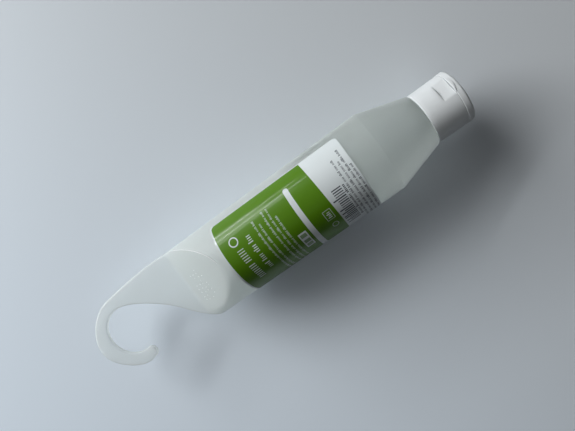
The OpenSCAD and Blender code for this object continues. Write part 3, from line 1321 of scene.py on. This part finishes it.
@dataclass
class Bottle(Piece):
    """Blown shell with its wedge-shaped closed end, shoulder and threaded neck."""

    stations: Stations
    hook: Hook
    thread: Thread
    body_r: float = 25.0
    wall: float = 1.0
    wedge_len: float = 31.2
    plain_from: float = 49.92
    swell: float = 1.0
    apex_blend: float = 1.6
    rim: float = 1.3
    rim_run: float = 6.0
    inner_rim: float = 0.4
    corner_run: float = 6.5
    shoulder_r: float = 15.8
    shoulder_wall: float = 1.3
    neck_r: float = 12.6
    neck_foot: float = 0.5
    bore_r: float = 10.7
    thread_h: float = 1.05
    thread_from: float = 1.2
    thread_to: float = 0.6
    plate_end: float = -3.0
    plate_rows: int = 46
    wedge_from: float = -2.6
    wedge_rows: int = 92
    cavity_from: float = 0.6
    cavity_rows: int = 46

    tag = Tag("bottle_shell", "bottle", "bottle", "bottle_plastic")

    def wedge_height(self, x: np.ndarray) -> np.ndarray:
        """Half height of the slanted faces: t + (R - t) s + 4 swell s (1 - s), s = x / length."""
        s, half_t = x / self.wedge_len, self.hook.half_t
        return half_t + (self.body_r - half_t) * s + 4 * self.swell * s * (1 - s)

    def section_rows(self, x: np.ndarray, ring: int, skin: float = 0.0) -> np.ndarray:
        """Rings of the plate and of the closed end, at stations past the eye's centre.

        A section is the rounded meet of a plan and a height. The plan is the greater of
        |p| - R and the distance past the lower edge; the height is |z| less
        t + (h(x) - t) * sqrt(1 - (1 - d)^2), with t half the plate's thickness and d the distance
        inside the lower edge over the corner's run, so the corner beside the throat falls away in
        a round.

        Args:
            x: stations.
            ring: points in a ring.
            skin: wall taken off for the inner face; 0 for the outer face.

        Returns:
            Array (len(x), ring, 3).
        """
        x = x[:, None]
        half_t = self.hook.half_t
        thin, rim = (half_t, self.inner_rim) if skin > 0.0 else (0.0, self.edges(x))
        high = self.wedge_height(x)
        if skin == 0.0:
            high = smooth_max(high, np.full_like(x, half_t - SLIVER), self.apex_blend)
        high = np.where(x > self.plain_from, 3 * self.body_r, high)
        outer_r = self.body_r - skin
        spine = np.where(x < 0, self.hook.spine(x, self.body_r), self.body_r) - skin
        low = self.hook.low_edge(x, self.body_r)
        lean = np.sqrt(1 + np.gradient(low[:, 0], x[:, 0]) ** 2)[:, None]
        low_in = low + skin * lean
        centre = (spine + low_in) / 2
        turn = around(ring)
        tall = np.minimum(np.maximum(high - thin, SLIVER), outer_r)
        way = np.stack([(spine - low_in) / 2 * np.cos(turn), tall * np.sin(turn)])
        way = way / np.linalg.norm(way, axis=0)

        def field(distance: np.ndarray) -> np.ndarray:
            """Rounded meet of the section's plan and its height.

            Args:
                distance: distances along the rays.

            Returns:
                The field, negative inside.
            """
            y = centre + way[0] * distance
            z = np.abs(way[1] * distance)
            top = np.where(x < 0, y - spine, np.hypot(y, z) - outer_r)
            inside = (y - low) / lean
            share = np.clip(inside / self.corner_run, 0.0, 1.0)
            rise = np.sqrt(1 - (1 - share) ** 2)
            level = half_t + np.maximum(high - half_t, 0) * rise
            plan = np.maximum(top, skin - inside)
            return rounded_meet(plan, z - np.maximum(level - thin, SLIVER), rim)

        distance = cast(field, way.shape[1:], reach=60.0)
        y, z = centre + way[0] * distance, way[1] * distance
        return np.stack([np.broadcast_to(x, y.shape), y, z], axis=-1)

    def edges(self, x: np.ndarray) -> np.ndarray:
        """Radius of the outer edges, which grows from the plate's to the rim's.

        Args:
            x: stations.

        Returns:
            The radii.
        """
        grown = np.clip(x / self.rim_run, 0, 1)
        return self.hook.edge + (self.rim - self.hook.edge) * grown

    def barrel(self, ring: int) -> np.ndarray:
        """Rings of the body, shoulder and neck, over the lip and down the bore.

        Args:
            ring: points in a ring.

        Returns:
            Array (n, ring, 3).
        """
        s = self.stations
        path = fillet([(s.barrel_from, self.body_r, 0), (s.body_end, self.body_r, 3.0),
                       (s.shoulder_end, self.shoulder_r, 1.3), (s.shoulder_end, self.neck_r, 0.6),
                       (s.neck_end, self.neck_r, 0.5), (s.neck_end, self.bore_r, 0.5),
                       (s.shoulder_end - self.shoulder_wall, self.bore_r, 0)], steps=7)
        outside = self.neck_r - SAME
        neck = (path[:, 0] > s.shoulder_end + self.neck_foot) & (path[:, 1] > outside)
        path = straighten(path, neck, self.neck_r, THREAD_ROWS)
        x, r, turn = path[:, :1], path[:, 1:], around(ring)
        bears = ((r > outside) & (x > s.shoulder_end + self.thread_from)
                 & (x < s.neck_end - self.thread_to))
        return spun(x, r + self.thread_h * self.thread.height(x, turn) * bears, turn)

    def skin(self) -> Skin:
        """Works out the shell with its hook as one closed skin.

        The rings run from the hook's tip over the outer face and back along the inner face.

        Returns:
            The closed skin.
        """
        s = self.stations
        plate = np.linspace(self.hook.eye[0], self.plate_end, self.plate_rows)
        wedge = np.linspace(self.wedge_from, WEDGE_END, self.wedge_rows)
        under = s.shoulder_end - self.shoulder_wall
        inner = fillet([(under, self.bore_r, 0), (under, self.shoulder_r - self.wall, 0.8),
                        (s.body_end, self.body_r - self.wall, 3.0),
                        (s.barrel_from, self.body_r - self.wall, 0)], steps=4)[1:]
        back = [*AFTER_WEDGE[::-1], *np.linspace(WEDGE_END, self.cavity_from, self.cavity_rows)]
        rows = np.concatenate([self.hook.strip_rows(RING), self.section_rows(plate, RING),
                               self.section_rows(np.array([*wedge, *AFTER_WEDGE]), RING),
                               self.barrel(RING), spun(inner[:, :1], inner[:, 1:], around(RING)),
                               self.section_rows(np.array(back), RING, self.wall)])
        return loft(rows, self.hook.tip(), rows[-1].mean(axis=0))


@dataclass
class MouldMarks(Piece):
    """Small raised dots and dashes on the upper slanted face."""

    bottle: Bottle
    rows_x: tuple = (6.6, 9.6, 12.6, 15.6)
    start_y: float = -12.0
    end_y: float = 8.0
    pitch: float = 2.4
    left_out: float = 0.25
    stray: float = 0.5
    half_lengths: tuple = (0.3, 0.95)
    angles: tuple = (0.0, 35.0, 90.0, 140.0)
    half_w: float = 0.26
    height: float = 0.26
    last_v: float = 75.0
    rings: int = 7
    ring: int = 12
    seed: int = 7

    tag = Tag("mould_marks", "bottle", None, "bottle_plastic")

    def skin(self) -> Skin:
        """Works out the marks as flat ellipsoids half sunk in the face.

        A point is c + a cos(v) cos(u) e + b cos(v) sin(u) f + h sin(v) n, with c on the face, e and
        f in its plane, n its normal and a, b, h the half length, half width and height.

        Returns:
            One skin of many closed marks.
        """
        luck = np.random.default_rng(self.seed)
        y = np.arange(self.start_y, self.end_y, self.pitch)
        x, y = (grid.ravel() for grid in np.meshgrid(np.array(self.rows_x), y))
        keep = luck.random(len(x)) > self.left_out
        x = x[keep] + luck.uniform(-self.stray, self.stray, keep.sum())
        y = y[keep] + luck.uniform(-self.stray, self.stray, keep.sum())
        step = 0.01
        z = self.bottle.wedge_height(x)
        rise = (self.bottle.wedge_height(x + step) - z) / step
        up = np.stack([-rise, 0 * x, np.ones_like(x)], axis=1) / np.sqrt(1 + rise**2)[:, None]
        run = np.stack([np.ones_like(x), 0 * x, rise], axis=1) / np.sqrt(1 + rise**2)[:, None]
        side = np.cross(up, run)
        angle = luck.choice(np.radians(self.angles), len(x))[:, None]
        e = run * np.cos(angle) + side * np.sin(angle)
        f = side * np.cos(angle) - run * np.sin(angle)
        half = luck.uniform(*self.half_lengths, len(x))[:, None, None, None]
        v = np.radians(np.linspace(-self.last_v, self.last_v, self.rings))[:, None, None]
        u = around(self.ring)[None, :, None]
        centre = np.stack([x, y, z], axis=1)
        points = (centre[:, None, None] + half * np.cos(v) * np.cos(u) * e[:, None, None]
                  + self.half_w * np.cos(v) * np.sin(u) * f[:, None, None]
                  + self.height * np.sin(v) * up[:, None, None])
        lofts = [loft(mark, spot - self.height * n, spot + self.height * n)
                 for mark, spot, n in zip(points, centre, up)]
        size = len(lofts[0].points)
        faces = [[corner + size * n for corner in face]
                 for n, mark in enumerate(lofts) for face in mark.faces]
        return Skin(np.concatenate([one.points for one in lofts]), faces)


@dataclass
class CreaseBead(Piece):
    """Fine raised line where the upper slanted face meets the round body."""

    bottle: Bottle
    start: float = 0.1
    end: float = 1.28
    radius: float = 0.26
    sunk: float = 0.12
    last_w: float = 0.999
    rings: int = 150
    ring: int = 12

    tag = Tag("crease_bead", "bottle", None, "bottle_plastic")

    def skin(self) -> Skin:
        """Works out the line.

        A point is c(t) + r(t) (cos(u) n + sin(u) k), with c(t) = (x, (R - sunk) n), n = (0, sin t,
        cos t) outwards, k along the axis, x where the slanted face is as high as the body and
        r(t) = radius sqrt(1 - w^4), w from -1 to 1 along the line.

        Returns:
            The closed skin.
        """
        w = np.linspace(-self.last_w, self.last_w, self.rings)
        t = self.start + (self.end - self.start) * (w + 1) / 2
        level = self.bottle.body_r
        known = np.linspace(0.0, self.bottle.wedge_len, num=400)
        x = np.interp(level * np.cos(t), self.bottle.wedge_height(known), known)
        n = np.stack([0 * t, np.sin(t), np.cos(t)], axis=1)
        middle = n * (level - self.sunk) + np.stack([x, 0 * x, 0 * x], axis=1)
        u = around(self.ring)[None, :, None]
        r = (self.radius * np.sqrt(1 - w**4))[:, None, None]
        k = np.array([1.0, 0.0, 0.0])
        rows = middle[:, None] + r * (np.cos(u) * n[:, None] + np.sin(u) * k)
        return loft(rows, middle[0], middle[-1])


@dataclass
class Gel(Piece):
    """Gel that fills the bottle up to its shoulder's end."""

    bottle: Bottle
    gap: float = 0.3
    start: float = 1.4
    wedge_rows: int = 36
    after_wedge: tuple = (40.0, 46.0)
    top_r: float = 0.4
    ring: int = 120

    tag = Tag("gel_body", "bottle", "gel_fill", "gel")

    def skin(self) -> Skin:
        """Works out the gel, which keeps a gap inside the wall.

        Returns:
            The closed skin.
        """
        b, s = self.bottle, self.bottle.stations
        off = b.wall + self.gap
        top = s.shoulder_end - b.shoulder_wall - self.gap
        end = np.array([*np.linspace(self.start, WEDGE_END, self.wedge_rows), *self.after_wedge])
        path = fillet([(s.barrel_from, b.body_r - off, 0), (s.body_end, b.body_r - off, 3.0),
                       (top, b.shoulder_r - off, 0.8), (top, self.top_r, 0)], steps=4)
        rows = np.concatenate([b.section_rows(end, self.ring, off),
                               spun(path[:, :1], path[:, 1:], around(self.ring))])
        return loft(rows, rows[0].mean(axis=0), (top, 0, 0))


@dataclass
class Label(Piece):
    """Printed film round the body."""

    start: float = 35.9
    length: float = 86.5
    angle: float = 33.0
    wrap: float = 220.0
    flat_r: float = 25.0
    inside_r: float = 25.03
    thickness: float = 0.15
    corner: float = 3.0
    corner_rows: int = 9
    rows: int = 22
    columns: int = 151

    tag = Tag("label_film", "bottle", "label", "label_film")

    def skin(self) -> Skin:
        """Works out the film as a thin closed solid with rounded corners.

        At a distance v from the edge nearer the hook the film runs from u0(v) to width - u0(v),
        u0 = r - sqrt(r^2 - (r - e)^2) with e the distance to the nearer end where it is under r.
        A point is (start + v, R cos a, R sin a), a = angle + u / flat radius.

        Returns:
            The closed skin with its map.
        """
        width = math.radians(self.wrap) * self.flat_r
        near = self.corner * (1 - np.cos(np.linspace(0, math.pi / 2, self.corner_rows)))
        far = self.length - near[::-1]
        v = np.concatenate([near, np.linspace(near[-1], far[0], self.rows)[1:-1], far])[:, None]
        left = np.minimum(np.minimum(v, self.length - v), self.corner)
        inset = self.corner - np.sqrt(np.maximum(self.corner**2 - (self.corner - left) ** 2, 0))
        u = inset + (width - 2 * inset) * np.linspace(0, 1, self.columns)
        a = math.radians(self.angle) + u / self.flat_r
        sheets, maps = [], []
        for radius, order in ((self.inside_r + self.thickness, 1), (self.inside_r, -1)):
            sheets.append(spun(self.start + v, radius, a)[:, ::order])
            maps.append(np.stack([u, v + 0 * u], axis=-1)[:, ::order] / MAP_MM)
        rows, uv = np.concatenate(sheets, axis=1), np.concatenate(maps, axis=1)
        count, ring = rows.shape[:2]
        j = np.arange(ring // 2 - 1)
        first = np.stack([j + 1, j, ring - 1 - j, ring - 2 - j], axis=1)
        faces = [*grid_faces(count, ring).tolist(), *first.tolist(),
                 *(first[:, ::-1] + (count - 1) * ring).tolist()]
        return Skin(rows.reshape(-1, 3), faces, uv.reshape(-1, 2))


# ---------------------------------------------------------------- cap


@dataclass
class Recess:
    """Flat thumb recess in the cap's skirt and the arched lip over it on the lid's rim."""

    angle: float = 59.0
    floor_r: float = 14.5
    length: float = 7.3
    step_run: float = 0.35
    step_band: float = 0.2
    side_blend: float = 0.12
    lip_h: float = 1.6
    lip_half_w: float = 5.6
    lip_out: float = 0.5
    lip_run: float = 0.25

    def skirt_r(self, x: np.ndarray, turn: np.ndarray, full_r: float, seam: float) -> np.ndarray:
        """Radius of the skirt: the lesser of its own and floor / cos(turn), above the step.

        Args:
            x: stations.
            turn: angles in radians.
            full_r: radius of the skirt beside the recess.
            seam: station of the seam.

        Returns:
            The radii.
        """
        off = np.cos(turn - math.radians(self.angle))
        flat = np.where(off > FACING, self.floor_r / np.maximum(off, FACING), full_r + 1)
        cut = np.minimum(-smooth_max(-flat, np.full_like(flat, -full_r), self.side_blend), full_r)
        return full_r + (cut - full_r) * eased((x - (seam - self.length)) / self.step_run + 0.5)

    def lip(self, above: np.ndarray, turn: np.ndarray, radius: float) -> np.ndarray:
        """How far the lip stands out: lip_out * step((arc(t) - above) / run), t = r sin(turn).

        The lip's outline is the arc sqrt(R^2 - t^2) - (R - h) over the rim's foot.

        Args:
            above: heights above the rim's foot.
            turn: angles in radians.
            radius: the rim's radius.

        Returns:
            The distances, 0 beside the lip.
        """
        arc_r = (self.lip_half_w**2 + self.lip_h**2) / (2 * self.lip_h)
        off = turn - math.radians(self.angle)
        t = np.where(np.cos(off) > 0, np.abs(radius * np.sin(off)), np.inf)
        arc = np.sqrt(np.maximum(arc_r**2 - t**2, 0)) - (arc_r - self.lip_h)
        return self.lip_out * eased((arc - above) / self.lip_run + 0.5) * (arc > 0)


@dataclass
class FilmHinge(Piece):
    """Folded film that joins lid and cap."""

    stations: Stations
    angle: float = 239.0
    radius: float = 0.42
    length: float = 8.9
    line_r: float = 15.6
    clear: float = 0.08
    crease: float = 0.18
    crease_w: float = 0.5
    end_power: int = 16
    rings: int = 25
    ring: int = 32

    tag = Tag("hinge_bead", "cap", "hinge_film", "cap_plastic")

    def groove(self, above: np.ndarray, turn: np.ndarray) -> np.ndarray:
        """Greatest radius of the lid's wall beside the bead.

        It is (line_r - sqrt(g^2 - above^2)) / cos(off), with g the groove's radius and off the
        angle from the hinge's middle.

        Args:
            above: heights above the seam.
            turn: angles in radians.

        Returns:
            The radii, infinite where the groove doesn't reach.
        """
        g = self.radius + self.clear
        off = np.cos(turn - math.radians(self.angle))
        limit = (self.line_r - np.sqrt(np.maximum(g**2 - above**2, 0))) / np.maximum(off, FACING)
        return np.where((np.abs(above) < g) & (off > FACING), limit, np.inf)

    def skin(self) -> Skin:
        """Works out the film as a bead with rounded ends along the hinge line.

        A ring at a distance q along the line has the radius r (1 - (2 q / length)^power)^(1/2),
        with a shallow crease on its outer side.

        Returns:
            The closed skin.
        """
        share = np.sin(np.linspace(-1, 1, self.rings)[1:-1] * math.pi / 2)[:, None]
        turn = around(self.ring)
        r = self.radius * np.sqrt(1 - np.abs(share) ** self.end_power)
        r = r * (1 - self.crease * np.exp(-((turn - math.pi / 2) / self.crease_w) ** 2))
        a = math.radians(self.angle)
        out = np.array([0, math.cos(a), math.sin(a)])
        line = np.array([0, -math.sin(a), math.cos(a)])
        along = np.array([1.0, 0, 0])
        middle = along * self.stations.seam + out * self.line_r
        spin = along * (r * np.cos(turn))[..., None] + out * (r * np.sin(turn))[..., None]
        rows = middle + line * (share * self.length / 2)[..., None] + spin
        return loft(rows, middle - line * self.length / 2, middle + line * self.length / 2)


@dataclass
class Cap(Piece):
    """Screwed cap with its skirt, deck, plug, spout and thread."""

    stations: Stations
    recess: Recess
    thread: Thread
    radius: float = 15.6
    bore_r: float = 13.95
    foot_r: float = 14.8
    deck: float = 1.5
    skirt_gap: float = 0.3
    plug_r: float = 10.62
    plug_len: float = 3.0
    plug_wall: float = 1.2
    plug_taper: float = 0.25
    plug_straight: float = 1.2
    spout_r: float = 4.0
    spout_len: float = 1.9
    orifice_r: float = 2.0
    thread_h: float = 0.95
    thread_free: float = 3.0
    side_in: float = 0.2
    side_inset: float = 0.3
    rim_from: float = 13.0
    rim_h: float = 0.5
    rim_inset: float = 0.4
    ring: int = 216

    tag = Tag("cap_shell", "cap", "cap_body", "cap_plastic")

    def profile(self) -> np.ndarray:
        """Works out the closed section, from the foot over outside, deck, spout, plug and bore.

        Returns:
            Array (n, 2) of stations and radii, whose first point isn't repeated.
        """
        s = self.stations
        foot, under, top = s.shoulder_end + self.skirt_gap, s.seam - self.deck, s.seam
        spout, plug_end = top + self.spout_len, under - self.plug_len
        plug_in = self.plug_r - self.plug_wall
        outside = [(foot, self.foot_r, 0), (foot, self.radius, 0.35), (top, self.radius, 0.25)]
        nozzle = [(top, self.spout_r, 0.4), (spout, self.spout_r, 0.35),
                  (spout, self.orifice_r, 0.3), (under, self.orifice_r, 0.2)]
        plug = [(under, plug_in, 0.3), (plug_end, plug_in, 0.3),
                (plug_end, self.plug_r - self.plug_taper, 0.3),
                (under - self.plug_straight, self.plug_r, 0.3), (under, self.plug_r, 0.1)]
        bore = [(under, self.bore_r, 0.4), (foot, self.bore_r, 0.3), (foot, self.foot_r, 0)]
        return fillet([*outside, *nozzle, *plug, *bore], steps=4)[:-1]

    def path(self) -> np.ndarray:
        """Works out the section with the points that recess and thread need.

        Returns:
            Array (n, 2) of stations and radii.
        """
        profile = self.profile()
        path = finer(np.concatenate([profile, profile[:1]]), longest=2.5)
        seam, length, band = self.stations.seam, self.recess.length, self.recess.step_band
        outside = path[:, 1] > self.radius - SAME
        known = path[outside, 0]
        x = np.unique(np.concatenate([known, seam - length + np.linspace(-band, band, num=7),
                                      seam - length * np.linspace(0, 1, num=9)]))
        path = straighten(path, outside, self.radius, x[(x >= known[0]) & (x <= known[-1])])
        bore = np.abs(path[:, 1] - self.bore_r) < SAME
        return straighten(path, bore, self.bore_r, THREAD_ROWS)[:-1]

    def skin(self) -> Skin:
        """Works out the cap as one closed ring, with the recess pressed into its skirt.

        In the recess a point stays as far inside the skirt's face as it was, up to an inset of
        the side or of the rim, so the rounded edges go with the face.

        Returns:
            The closed skin.
        """
        s, turn, path = self.stations, around(self.ring), self.path()
        x, r = path[:, :1], path[:, 1:]
        skirt = self.recess.skirt_r(x, turn, self.radius, s.seam)
        side, rim = (np.minimum(r, skirt - (self.radius - r).clip(0, inset))
                     for inset in (self.side_inset, self.rim_inset))
        radius = np.where(r > self.bore_r + self.side_in, side, r)
        radius = np.where((r > self.rim_from) & (x > s.seam - self.rim_h), rim, radius)
        threaded = (np.abs(r - self.bore_r) < SAME) & (x < s.seam - self.thread_free)
        radius = radius - self.thread_h * self.thread.height(x, turn) * threaded
        return torus(spun(x, radius, turn))


@dataclass
class Lid(Piece):
    """Flip lid with its rim, arch and sealing pin."""

    stations: Stations
    recess: Recess
    hinge: FilmHinge
    radius: float = 15.8
    wall: float = 1.2
    top_t: float = 1.3
    crown_r: float = 1.5
    pin_r: float = 1.85
    pin_end: float = 0.8
    dimple_r: float = 1.3
    dimple_slope: tuple = (0.12, 0.9)
    dimple: float = 0.14
    lip_in: float = 0.4
    lip_below: float = 0.5
    wall_rows: int = 26
    ring: int = 216

    tag = Tag("lid_shell", "lid", "flip_lid", "cap_plastic")

    def skin(self) -> Skin:
        """Works out the lid with the lip on its rim and the hinge's groove in it.

        Returns:
            The closed skin.
        """
        s = self.stations
        roof, pin = s.lid_end - self.top_t, s.seam + self.pin_end
        inner = self.radius - self.wall
        sealing_pin = [(pin, 0.3, 0), (pin, self.pin_r, 0.5), (roof, self.pin_r, 0.3)]
        rim = [(roof, inner, 0.5), (s.lid_start, inner, 0.15), (s.lid_start, self.radius, 0.25),
               (s.lid_end, self.radius, self.crown_r)]
        deep, slope_r = self.dimple_slope
        dimple = [(s.lid_end, self.dimple_r, 0), (s.lid_end - deep, slope_r, 0),
                  (s.lid_end - self.dimple, 0.2, 0)]
        path = finer(fillet([*sealing_pin, *rim, *dimple], steps=7), longest=1.6)
        wall = np.abs(path[:, 1] - self.radius) < SAME
        path = straighten(path, wall, self.radius, self.wall_rows)
        x, r, turn = path[:, :1], path[:, 1:], around(self.ring)
        lip = self.recess.lip(x - s.lid_start, turn, self.radius)
        r = r + lip * (r > self.radius - self.lip_in) * (x < s.lid_end - self.lip_below)
        r = np.minimum(r, self.hinge.groove(x - s.seam, turn))
        return loft(spun(x, r, turn), (pin, 0, 0), (s.lid_end - self.dimple, 0, 0))


# ---------------------------------------------------------------- studio


@dataclass(frozen=True)
class Lamp:
    """One soft area lamp that points at the bottle."""

    name: str
    place: tuple
    size: tuple
    watts: float
    colour: tuple = (1.0, 1.0, 1.0)

    def build(self) -> None:
        """Adds the lamp, turned so that its face looks at the scene's origin."""
        data = bpy.data.lights.new(self.name, "AREA")
        data.shape, data.size, data.size_y = "RECTANGLE", *self.size
        data.energy, data.color = self.watts, self.colour
        lamp = bpy.data.objects.new(self.name, data)
        lamp.location = self.place
        lamp.rotation_euler = Vector(self.place).to_track_quat("Z", "Y").to_euler()
        bpy.context.scene.collection.objects.link(lamp)


@dataclass(frozen=True)
class Camera:
    """Camera that looks down on the lying bottle; its place follows the bottle's zero station."""

    station: float = 115.008
    off_axis: float = 18.202
    height: float = 285.417
    turn_degrees: tuple = (-8.3341, 4.9067, -36.1880)
    lens: float = 28.174
    sensor: float = 36.0
    clip: float = 0.01

    def build(self, stations: Stations) -> None:
        """Adds the camera and makes it the scene's own.

        Args:
            stations: the bottle's stations.
        """
        data = bpy.data.cameras.new("camera")
        data.lens, data.sensor_width, data.clip_start = self.lens, self.sensor, self.clip
        camera = bpy.data.objects.new("camera", data)
        place = (self.station + stations.zero_x, self.off_axis, self.height)
        camera.location = Vector(place) / 1000
        camera.rotation_euler = Euler([math.radians(a) for a in self.turn_degrees])
        bpy.context.scene.collection.objects.link(camera)
        bpy.context.scene.camera = camera


@dataclass
class Studio:
    """Table, lamps, world and view settings.

    The two panes are narrow and bright, and draw twin streaks along the label.
    """

    lamps: tuple = (
        Lamp("window", (-0.92, 1.20, 0.84), (1.54, 0.84), 26.0, DAYLIGHT),
        Lamp("upper_pane", (-0.678, 1.175, 0.848), (1.4, 0.028), 5.0, DAYLIGHT),
        Lamp("lower_pane", (-0.752, 1.302, 0.547), (1.4, 0.028), 5.0, DAYLIGHT),
        Lamp("ceiling", (-0.2, 0.1, 1.2), (1.2, 1.2), 0.8),
    )
    table_half: float = 1.2
    room: tuple = (0.94, 0.97, 1.0, 1.0)
    room_light: float = 0.04

    def build(self, table: bpy.types.Material) -> None:
        """Adds the table, the lamps and the world.

        Args:
            table: material of the table.
        """
        h = self.table_half
        mesh = bpy.data.meshes.new("table")
        mesh.from_pydata([(-h, -h, 0), (h, -h, 0), (h, h, 0), (-h, h, 0)], [], [(0, 1, 2, 3)])
        mesh.materials.append(table)
        floor = bpy.data.objects.new("table", mesh)
        bpy.context.scene.collection.objects.link(floor)
        for lamp in self.lamps:
            lamp.build()
        world = bpy.data.worlds.new("room")
        world.use_nodes = True
        background = world.node_tree.nodes["Background"]
        background.inputs["Color"].default_value = self.room
        background.inputs["Strength"].default_value = self.room_light
        bpy.context.scene.world = world
        bpy.context.scene.view_settings.view_transform = "Standard"


def corners(box: Sequence) -> list:
    """Returns a box's two corners as plain lists."""
    return [[float(value) for value in corner] for corner in box]


def main() -> None:
    """Builds the bottle, its label, gel, cap and lid, and the studio round them."""
    for name in ("Cube", "Light", "Camera"):
        if name in bpy.data.objects:
            bpy.data.objects.remove(bpy.data.objects[name])
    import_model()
    stations = Stations.from_frame()
    effects = Effects()
    milky = MilkyPlastic().material(effects)
    # Whiter, opaque copy of the milky plastic for the marks and crease bead: a painted highlight so
    # they read as bright glints.
    raised = MilkyPlastic("raised_glint_plastic", thick_colour=(253, 254, 254), glow=0.3,
                          thick_haze=1.0).material(effects)
    cap_plastic = CapPlastic().material(effects)
    bottle = Bottle(stations, Hook(), Thread(start=171.2))
    recess, hinge = Recess(), FilmHinge(stations)
    maker = Maker(stations)
    for piece, material in (
            (bottle, milky), (MouldMarks(bottle), raised), (CreaseBead(bottle), raised),
            (Gel(bottle), ClearGel().material(effects)), (Label(), PrintedFilm().material(effects)),
            (Cap(stations, recess, Thread(start=173.2)), cap_plastic), (hinge, cap_plastic),
            (Lid(stations, recess, hinge), cap_plastic)):
        maker.build(piece, material)
    Camera().build(stations)
    Studio().build(TableTop().material(effects))


if __name__ == "__main__":
    logging.basicConfig(level=logging.INFO, format="%(name)s %(message)s")
    main()
